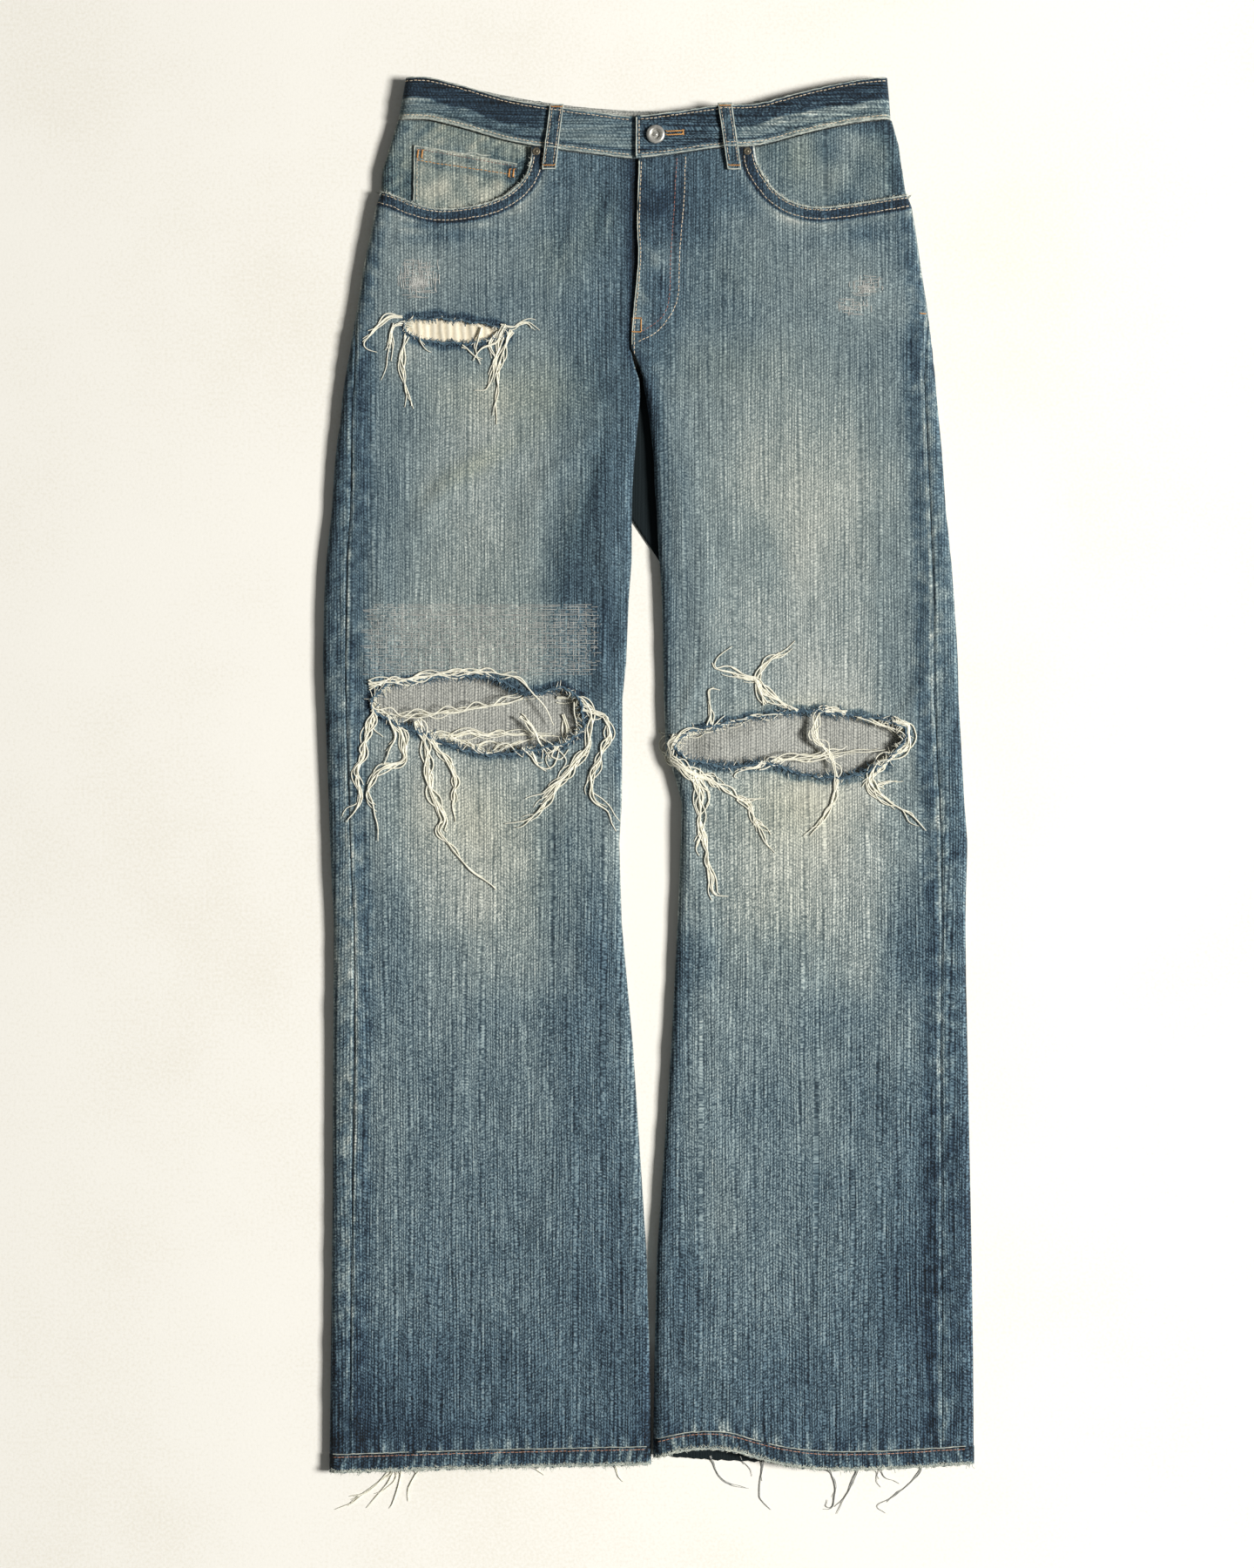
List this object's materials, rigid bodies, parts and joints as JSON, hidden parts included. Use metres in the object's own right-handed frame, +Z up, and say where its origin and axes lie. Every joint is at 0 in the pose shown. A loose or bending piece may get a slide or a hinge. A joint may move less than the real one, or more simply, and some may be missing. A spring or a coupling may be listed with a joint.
{
  "type": "ripped jeans",
  "caption": "Wide-leg blue jeans laid flat, with torn and frayed knees, a thigh tear, a darned patch and worn seams; button fly closed",
  "frame": {"origin": "on the surface that the jeans lie on, under the middle of their outline", "axes": "+X to the wearer's left leg, +Y from the hems to the waistband, +Z up from the surface, out of the front of the garment"},
  "size_m": [0.5238, 1.1221, 0.0192],
  "materials": {
    "denim": "washed slubby denim, faded at the thighs and knees",
    "denim_dark": "unfaded indigo denim, worn pale along the seams",
    "denim_faded": "pale washed denim",
    "pocket_cotton": "ribbed cream pocket cotton",
    "button_metal": "dull silver",
    "rivet_metal": "tarnished"
  },
  "bodies": {
    "root": {"front_right": "denim", "front_left": "denim", "back_right": "denim", "back_left": "denim", "back_pocket_right": "denim", "back_pocket_left": "denim", "waistband": "denim_dark", "yoke_right": "denim_dark", "yoke_left": "denim_dark", "hem_right": "denim_dark", "hem_left": "denim_dark", "belt_loop_front_right": "denim_dark", "belt_loop_front_left": "denim_dark", "belt_loop_back_right": "denim_dark", "belt_loop_back_centre": "denim_dark", "belt_loop_back_left": "denim_dark", "fly_underlap": "denim_dark", "pocket_facing_right": "denim_faded", "pocket_facing_left": "denim_faded", "coin_pocket": "denim_faded", "pocket_bag_right": "pocket_cotton", "button": "button_metal", "rivet_right": "rivet_metal", "rivet_left": "rivet_metal"}
  },
  "joints": []
}
